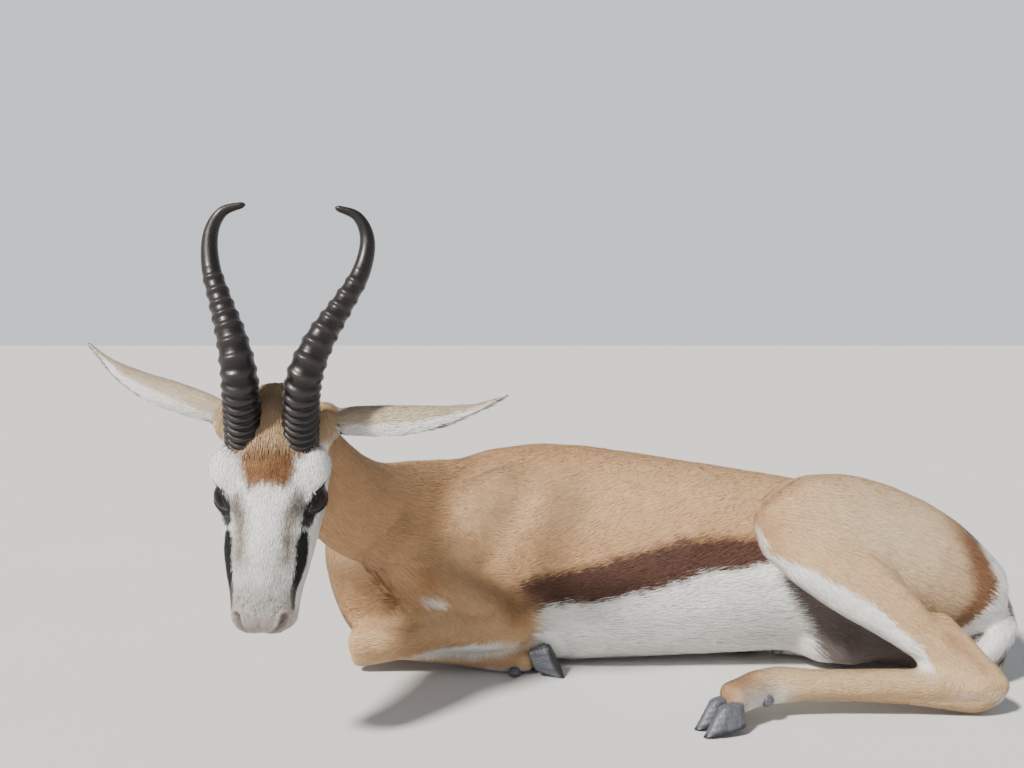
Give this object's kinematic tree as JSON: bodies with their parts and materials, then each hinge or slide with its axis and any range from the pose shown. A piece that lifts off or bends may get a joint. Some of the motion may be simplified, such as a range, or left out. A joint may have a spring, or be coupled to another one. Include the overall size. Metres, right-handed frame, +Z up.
{
  "type": "springbok",
  "caption": "Life-size still model of a springbok ram, lying on its side with folded legs and its horned head raised.",
  "frame": {"origin": "on the floor, under the middle of the whole animal's bounding box", "axes": "+X towards the rump, +Y towards the animal's back, -Y towards its belly and face, +Z up"},
  "size_m": [1.0566, 0.5308, 0.5461],
  "materials": {
    "coat": "short smooth fur, tan above and white below",
    "horn": "ringed horn with a low gloss",
    "eye": "wet dark brown eye",
    "hoof": "satin blue-grey hoof"
  },
  "bodies": {
    "root": {"trunk": "coat", "neck": "coat", "head": "coat", "left_eye": "eye", "left_horn": "horn", "left_ear": "coat", "right_eye": "eye", "right_horn": "horn", "right_ear": "coat", "left_fore_arm": "coat", "left_fore_forearm": "coat", "left_fore_foot": "coat", "left_fore_hoof_outer": "hoof", "left_fore_hoof_inner": "hoof", "left_fore_dewclaw_outer": "hoof", "left_fore_dewclaw_inner": "hoof", "right_fore_arm": "coat", "right_fore_forearm": "coat", "right_fore_foot": "coat", "right_fore_hoof_outer": "hoof", "right_fore_hoof_inner": "hoof", "right_fore_dewclaw_outer": "hoof", "right_fore_dewclaw_inner": "hoof", "left_hind_thigh": "coat", "left_hind_shank": "coat", "left_hind_foot": "coat", "left_hind_hoof_outer": "hoof", "left_hind_hoof_inner": "hoof", "left_hind_dewclaw_outer": "hoof", "left_hind_dewclaw_inner": "hoof", "right_hind_foot": "coat", "right_hind_thigh": "coat", "right_hind_shank": "coat", "right_hind_hoof_outer": "hoof", "right_hind_hoof_inner": "hoof", "right_hind_dewclaw_outer": "hoof", "right_hind_dewclaw_inner": "hoof", "tail": "coat"}
  },
  "joints": []
}
